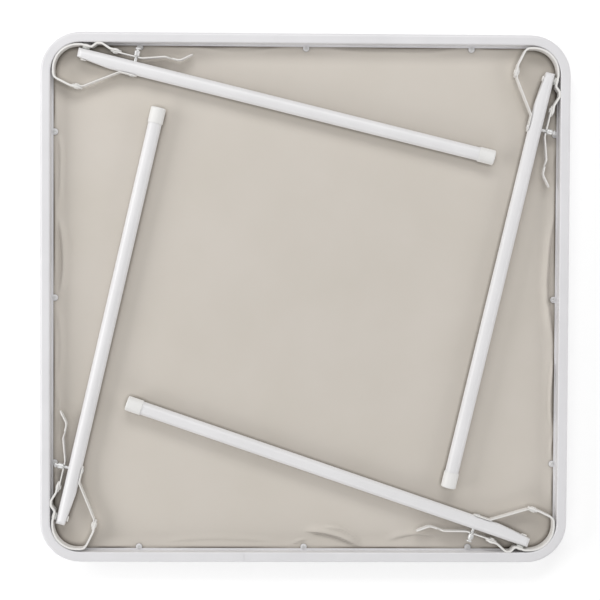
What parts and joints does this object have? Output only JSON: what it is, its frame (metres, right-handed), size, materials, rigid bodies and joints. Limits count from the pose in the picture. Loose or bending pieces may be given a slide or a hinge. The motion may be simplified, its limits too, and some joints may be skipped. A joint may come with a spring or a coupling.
{
  "type": "folding card table",
  "caption": "Square folding card table with a padded top, a rolled steel frame and legs that fold flat beneath it, shown folded and face down.",
  "frame": {"origin": "middle of the playing surface, which lies face down on the floor with the legs folded in", "axes": "+Z out of the underside, the way the legs open; +X and +Y along the sides. The table is turned over, +Z down, to stand on its opened legs."},
  "size_m": [0.86, 0.86, 0.0349],
  "materials": {
    "frame_paint": "satin white powder coat",
    "leg_paint": "satin white powder coat",
    "bracket_paint": "satin white powder coat, worn at the edges",
    "cap_plastic": "moulded, matt",
    "bush_plastic": "moulded, matt",
    "screw_steel": "zinc plated",
    "cover_vinyl": "fine grained vinyl",
    "lining_sheet": "smooth coated sheet",
    "pad_foam": "foam",
    "board_fibre": "hardboard"
  },
  "bodies": {
    "table_top": {"table_frame": "frame_paint", "vinyl_cover": "cover_vinyl", "foam_pad": "pad_foam", "top_board": "board_fibre", "underside_lining": "lining_sheet", "panel_screws": "screw_steel", "corner_strap_1": "bracket_paint", "hinge_bush_1": "bush_plastic", "hinge_rivet_1": "bracket_paint", "stay_rivet_1": "bracket_paint", "brace_rivet_1": "bracket_paint", "corner_strap_2": "bracket_paint", "hinge_bush_2": "bush_plastic", "hinge_rivet_2": "bracket_paint", "stay_rivet_2": "bracket_paint", "brace_rivet_2": "bracket_paint", "corner_strap_3": "bracket_paint", "hinge_bush_3": "bush_plastic", "hinge_rivet_3": "bracket_paint", "stay_rivet_3": "bracket_paint", "brace_rivet_3": "bracket_paint", "corner_strap_4": "bracket_paint", "hinge_bush_4": "bush_plastic", "hinge_rivet_4": "bracket_paint", "stay_rivet_4": "bracket_paint", "brace_rivet_4": "bracket_paint"},
    "leg_1": {"leg_tube_1": "leg_paint", "foot_cap_1": "cap_plastic", "lock_stud_1": "screw_steel", "leg_brace_1": "bracket_paint"},
    "stay_1": {"lock_stay_1": "bracket_paint"},
    "leg_2": {"leg_tube_2": "leg_paint", "foot_cap_2": "cap_plastic", "lock_stud_2": "screw_steel", "leg_brace_2": "bracket_paint"},
    "stay_2": {"lock_stay_2": "bracket_paint"},
    "leg_3": {"leg_tube_3": "leg_paint", "foot_cap_3": "cap_plastic", "lock_stud_3": "screw_steel", "leg_brace_3": "bracket_paint"},
    "stay_3": {"lock_stay_3": "bracket_paint"},
    "leg_4": {"leg_tube_4": "leg_paint", "foot_cap_4": "cap_plastic", "lock_stud_4": "screw_steel", "leg_brace_4": "bracket_paint"},
    "stay_4": {"lock_stay_4": "bracket_paint"}
  },
  "joints": [
    {"name": "leg_1_fold", "type": "hinge", "parent": "table_top", "child": "leg_1", "pos_m": [-0.3595, 0.3922, 0.02255], "axis": [-0.2345, -0.9721, 0], "range_deg": [0, 90]},
    {"name": "stay_1_swing", "type": "hinge", "parent": "table_top", "child": "stay_1", "pos_m": [-0.31332, 0.38106, 0.02255], "axis": [-0.2345, -0.9721, 0], "range_deg": [0, 120.1]},
    {"name": "leg_2_fold", "type": "hinge", "parent": "table_top", "child": "leg_2", "pos_m": [0.3922, 0.3595, 0.02255], "axis": [-0.9737, 0.2277, 0], "range_deg": [0, 90]},
    {"name": "stay_2_swing", "type": "hinge", "parent": "table_top", "child": "stay_2", "pos_m": [0.38139, 0.31325, 0.02255], "axis": [-0.9737, 0.2277, 0], "range_deg": [0, 120.1]},
    {"name": "leg_3_fold", "type": "hinge", "parent": "table_top", "child": "leg_3", "pos_m": [0.3595, -0.3922, 0.02255], "axis": [0.3228, 0.9465, 0], "range_deg": [0, 90]},
    {"name": "stay_3_swing", "type": "hinge", "parent": "table_top", "child": "stay_3", "pos_m": [0.31454, -0.37687, 0.02255], "axis": [0.3228, 0.9465, 0], "range_deg": [0, 120.1]},
    {"name": "leg_4_fold", "type": "hinge", "parent": "table_top", "child": "leg_4", "pos_m": [-0.3922, -0.3595, 0.02255], "axis": [0.9748, -0.2231, 0], "range_deg": [0, 90]},
    {"name": "stay_4_swing", "type": "hinge", "parent": "table_top", "child": "stay_4", "pos_m": [-0.3816, -0.3132, 0.02255], "axis": [0.9748, -0.2231, 0], "range_deg": [0, 120.1]}
  ],
  "couplings": [
    {"joint": "stay_1_swing", "follows": "leg_1_fold", "ratio": 1.3342},
    {"joint": "stay_2_swing", "follows": "leg_2_fold", "ratio": 1.3342},
    {"joint": "stay_3_swing", "follows": "leg_3_fold", "ratio": 1.3342},
    {"joint": "stay_4_swing", "follows": "leg_4_fold", "ratio": 1.3342}
  ]
}
